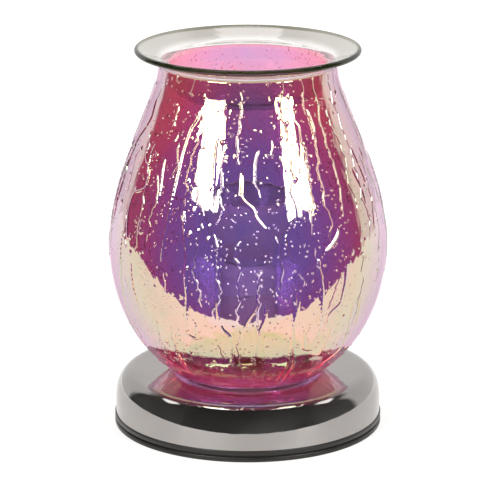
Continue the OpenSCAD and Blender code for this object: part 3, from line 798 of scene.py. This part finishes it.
# %% Chrome
def chrome(place):
    swirl = place.node("TexNoise", Vector=place, Scale=60, Detail=6, Distortion=1.2)
    smear = place.noise(0.035, 5)
    return place.principled(
        Base_Color=smear.tint((0.385, 0.365, 0.352), (0.440, 0.420, 0.408)),
        Metallic=smear.span(0.40, 0.62, 0.90, 0.74),
        Roughness=smear.span(0.45, 0.75, 0.025, 0.075) + swirl.span(0.4, 0.7, 0.0, 0.015),
        Normal=place.bump(place.noise(0.016, 2), 0.00017),
    )


shell.data.materials.append(finish("chrome", chrome))
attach(shell, "base")
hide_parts("base_shell")
flagged = bpy.data.collections.new("shaded_from_softboxes")
for shaded in (shell, dish):
    flagged.objects.link(shaded)
for member in flagged.collection_objects:
    member.light_linking.link_state = "EXCLUDE"
for box in softboxes:
    box.light_linking.receiver_collection = flagged

# %% [markdown]
# ## Foot ring
#
# A moulded black ring grips the shell's lower edge and stands on the table.
# It has one groove round its middle. The moulded edges are broken by a
# small round, because a perfectly sharp edge never catches the light.

# %% Turn the ring
ring_high, plate_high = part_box("foot_ring")[1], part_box("base_plate")[1]
RING_R = ring_high.x / MM
UPSTAND_TOP, UPSTAND_W, BREAK = ring_high.z / MM, 5.3, 0.5
groove_z, GROOVE_H, GROOVE_D = (RING_H - 0.8) / 2, 0.8, 0.9
PLATE_R = plate_high.x / MM + 0.2
upstand_out = BASE_R - SHEET - 0.2
ring_outline = (
    [(PLATE_R, 0.0), (RING_R - 2, 0.0)]
    + arc((RING_R - BREAK, BREAK), BREAK, -90, 0, 5)
    + [(RING_R, groove_z - 0.2), (RING_R - 0.2, groove_z),
       (RING_R - GROOVE_D, groove_z + 0.05),
       (RING_R - GROOVE_D, groove_z + GROOVE_H - 0.05),
       (RING_R - 0.2, groove_z + GROOVE_H), (RING_R, groove_z + GROOVE_H + 0.2)]
    + arc((RING_R - BREAK, RING_H - BREAK), BREAK, 0, 90, 5)
    + [(upstand_out, RING_H), (upstand_out, UPSTAND_TOP),
       (upstand_out - UPSTAND_W, UPSTAND_TOP),
       (upstand_out - UPSTAND_W, plate_high.z / MM), (PLATE_R, plate_high.z / MM),
       (PLATE_R, 0.0)]
)
ring = turned("black_foot_ring", ring_outline, 180)
smooth(ring, 50)
print("ring faces", len(ring.data.polygons))


# %% Families of finishes
def moulded(dark, light, grain=0.0006, depth=0.00004, rough=(0.4, 0.55), **more):
    """Moulded plastic or rubber: faint mottle, grain and worn patches."""

    def recipe(place):
        mottle, fine = place.noise(0.012, 4), place.noise(grain, 2)
        return place.principled(
            Base_Color=(mottle * 0.7 + fine * 0.3).tint(dark, light),
            Roughness=mottle.span(0.3, 0.7, *rough),
            Normal=place.bump(fine, depth), **more,
        )

    return recipe


def worked_metal(dark, light, rough=(0.2, 0.4), lay=(1, 1, 12), depth=0.00001, stain=None):
    """Drawn, pressed or plated metal: fine marks one way, cloudy oxide."""

    def recipe(place):
        marks = place.stretched(*lay).noise(0.0016, 5, 0.6)
        cloud = place.noise(0.008, 4)
        colour = (cloud * 0.6 + marks * 0.4).tint(dark, light)
        if stain:
            patch = place.noise(0.004, 6).span(0.58, 0.72)
            colour = patch.mixed(colour, (*stain, 1))
        return place.principled(
            Base_Color=colour, Metallic=1.0,
            Roughness=(marks * 0.5 + cloud * 0.5).span(0.3, 0.7, *rough),
            Normal=place.bump(marks, depth),
        )

    return recipe


def fired(dark, light, rough=(0.5, 0.7), depth=0.00005):
    """Ceramic: a chalky body with fine speckle and tiny pits."""

    def recipe(place):
        speck, body = place.noise(0.0007, 3), place.noise(0.006, 4)
        return place.principled(
            Base_Color=(body * 0.6 + speck * 0.4).tint(dark, light),
            Roughness=body.span(0.3, 0.7, *rough), Normal=place.bump(speck, depth),
        )

    return recipe


def small_glass(tone, rough=0.0):
    """Pressed or drawn clear glass for the lamp's own small parts."""

    def recipe(place):
        ripple = place.noise(0.003, 2)
        return place.principled(
            Base_Color=ripple.tint(tuple(0.96 * c for c in tone), tone),
            Roughness=rough, IOR=1.46, Transmission_Weight=1.0,
            Normal=place.bump(ripple, 0.00003),
        )

    return recipe


def dichroic(place):
    """The lamp's cool-beam mirror: pressed facets, pale and bluish."""
    facets = place.node("TexVoronoi", Vector=place, Scale=330)
    film = place.noise(0.01, 2)
    return place.principled(
        Base_Color=film.ramp(
            (0.3, (0.72, 0.80, 0.95)), (0.5, (0.88, 0.88, 0.93)), (0.7, (0.93, 0.86, 0.80)),
        ),
        Metallic=0.35, Roughness=facets.span(0.0, 0.8, 0.08, 0.2),
        Normal=place.bump(facets, 0.0002),
    )


def translucent_rubber(place):
    """Milky silicone with trapped haze."""
    haze = place.noise(0.004, 4)
    return place.principled(
        Base_Color=haze.tint((0.70, 0.70, 0.67), (0.84, 0.84, 0.81)),
        Roughness=haze.span(0.3, 0.7, 0.4, 0.6), Subsurface_Weight=0.25,
        Subsurface_Radius=(0.004, 0.004, 0.0035),
        Normal=place.bump(place.noise(0.0008), 0.00003),
    )


def wound_wire(place):
    """Enamelled copper: fine turns side by side."""
    turns = place.node("TexWave", {"wave_type": "BANDS", "bands_direction": "Z"},
                       Vector=place, Scale=260, Distortion=0.4)
    return place.principled(
        Base_Color=turns.tint((0.42, 0.13, 0.04), (0.78, 0.34, 0.13)), Metallic=0.8,
        Roughness=turns.span(0.0, 1.0, 0.45, 0.22), Coat_Weight=0.4,
        Normal=place.bump(turns, 0.0002),
    )


def laminate(place):
    """Green solder resist over woven glass and faint copper tracks."""
    weave = place.node("TexVoronoi", {"distance": "CHEBYCHEV"}, Vector=place,
                       Scale=900, Randomness=0.2)
    tracks = place.node("TexBrick", out=1, Vector=place, Scale=120, Mortar_Size=0.09)
    tone = weave * 0.3 + tracks * 0.7
    return place.principled(
        Base_Color=tone.tint((0.015, 0.11, 0.045), (0.05, 0.24, 0.10)),
        Roughness=tone.span(0.0, 1.0, 0.25, 0.4), Normal=place.bump(tone, 0.00004),
    )


print("families ready")

# %% [markdown]
# ## A finish for every part
#
# Each slot of the record gets its own recipe from those families, with its
# own colours and scale of detail. Parts of the engineering model keep
# their meshes. Only their materials are changed. A family takes the dark
# and the light of its mottle first, and then its grain, the depth of that
# grain and the range of its roughness.

# %% Recipes by slot
recipes = {
    "foot_rubber": moulded((0.013, 0.011, 0.0095), (0.028, 0.025, 0.022), 0.0009, 0.00005,
                           (0.28, 0.42), Specular_IOR_Level=0.32),
    "plate_paint": moulded((0.012, 0.012, 0.014), (0.03, 0.03, 0.034),
                           0.0012, 0.0001, (0.45, 0.6)),
    "steel": worked_metal((0.40, 0.40, 0.41), (0.66, 0.66, 0.67),
                          (0.22, 0.42), stain=(0.5, 0.45, 0.36)),
    "disc_steel": worked_metal((0.50, 0.50, 0.51), (0.70, 0.70, 0.71),
                               (0.18, 0.32), (12, 1, 1)),
    "gland_plastic": moulded((0.010, 0.010, 0.011), (0.028, 0.028, 0.030), 0.0008, 0.00005),
    "brass": worked_metal((0.55, 0.38, 0.13), (0.80, 0.62, 0.28),
                          (0.20, 0.38), stain=(0.36, 0.22, 0.09)),
    "contact_brass": worked_metal((0.62, 0.46, 0.18), (0.86, 0.70, 0.34), (0.16, 0.30)),
    "silicone": translucent_rubber,
    "bush_plastic": moulded((0.74, 0.68, 0.55), (0.86, 0.81, 0.70),
                            0.0009, 0.00003, (0.4, 0.5)),
    "holder_ceramic": fired((0.70, 0.65, 0.56), (0.84, 0.80, 0.71)),
    "cap_ceramic": fired((0.80, 0.79, 0.76), (0.92, 0.91, 0.88), (0.4, 0.55)),
    "pin_metal": worked_metal((0.52, 0.50, 0.46), (0.72, 0.70, 0.64), (0.2, 0.32)),
    "reflector_glass": dichroic,
    "lens_glass": small_glass((0.97, 0.99, 1.0)),
    "quartz": small_glass((0.99, 0.99, 1.0)),
    "tungsten": worked_metal((0.20, 0.19, 0.18), (0.40, 0.38, 0.36), (0.4, 0.6)),
    "case_plastic": moulded((0.025, 0.027, 0.030), (0.055, 0.058, 0.064),
                            0.0010, 0.00008, (0.45, 0.6)),
    "board_laminate": laminate,
    "ferrite": fired((0.020, 0.020, 0.023), (0.055, 0.055, 0.060), (0.45, 0.65)),
    "copper": wound_wire,
    "capacitor_box": moulded((0.52, 0.34, 0.05), (0.70, 0.50, 0.10),
                             0.0010, 0.00003, (0.25, 0.4)),
    "chip_epoxy": moulded((0.010, 0.010, 0.011), (0.026, 0.026, 0.028),
                          0.0005, 0.00004, (0.5, 0.65)),
    "block_nylon": moulded((0.74, 0.74, 0.70), (0.86, 0.86, 0.83),
                           0.0009, 0.00004, (0.4, 0.55)),
    "lead_brown": moulded((0.11, 0.035, 0.012), (0.20, 0.07, 0.025), 0.0006, 0.00004),
    "lead_blue": moulded((0.012, 0.07, 0.30), (0.03, 0.14, 0.48), 0.0006, 0.00004),
    "lead_red": moulded((0.30, 0.015, 0.012), (0.50, 0.035, 0.03), 0.0006, 0.00004),
    "lead_yellow": moulded((0.55, 0.40, 0.02), (0.75, 0.60, 0.05), 0.0006, 0.00004),
}
finishes = {slot: finish(slot, recipe) for slot, recipe in recipes.items()}
ring.data.materials.append(finishes["foot_rubber"])
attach(ring, "base")
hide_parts("foot_ring")
print("finishes", len(finishes))

# %% Dress the parts of the engineering model
REPLACED = {"glass_shade", "dish", "base_shell", "foot_ring"}
dressed = 0
for part in frame["record"]["subparts"]:
    if part["node"] in REPLACED:
        continue
    mesh = nodes[part["node"]].data
    if not mesh.materials:
        mesh.materials.append(None)
    for i in range(len(mesh.materials)):
        mesh.materials[i] = finishes[part["material_slot"]]
    dressed += 1
print("dressed", dressed, "parts of", len(nodes))

# %% [markdown]
# ## Picture settings
#
# The lamp is shown on pure white, with its own colours unmuted, so the
# Standard view is used. Light has to cross four glass surfaces and come
# back, so the paths are long enough for that.

# %% View and light paths
scene = bpy.context.scene
scene.view_settings.view_transform = "Standard"
paths = scene.cycles
paths.use_denoising = True
paths.max_bounces = paths.transmission_bounces = 40
paths.glossy_bounces, paths.transparent_max_bounces = 24, 16
paths.sample_clamp_indirect = 6.0
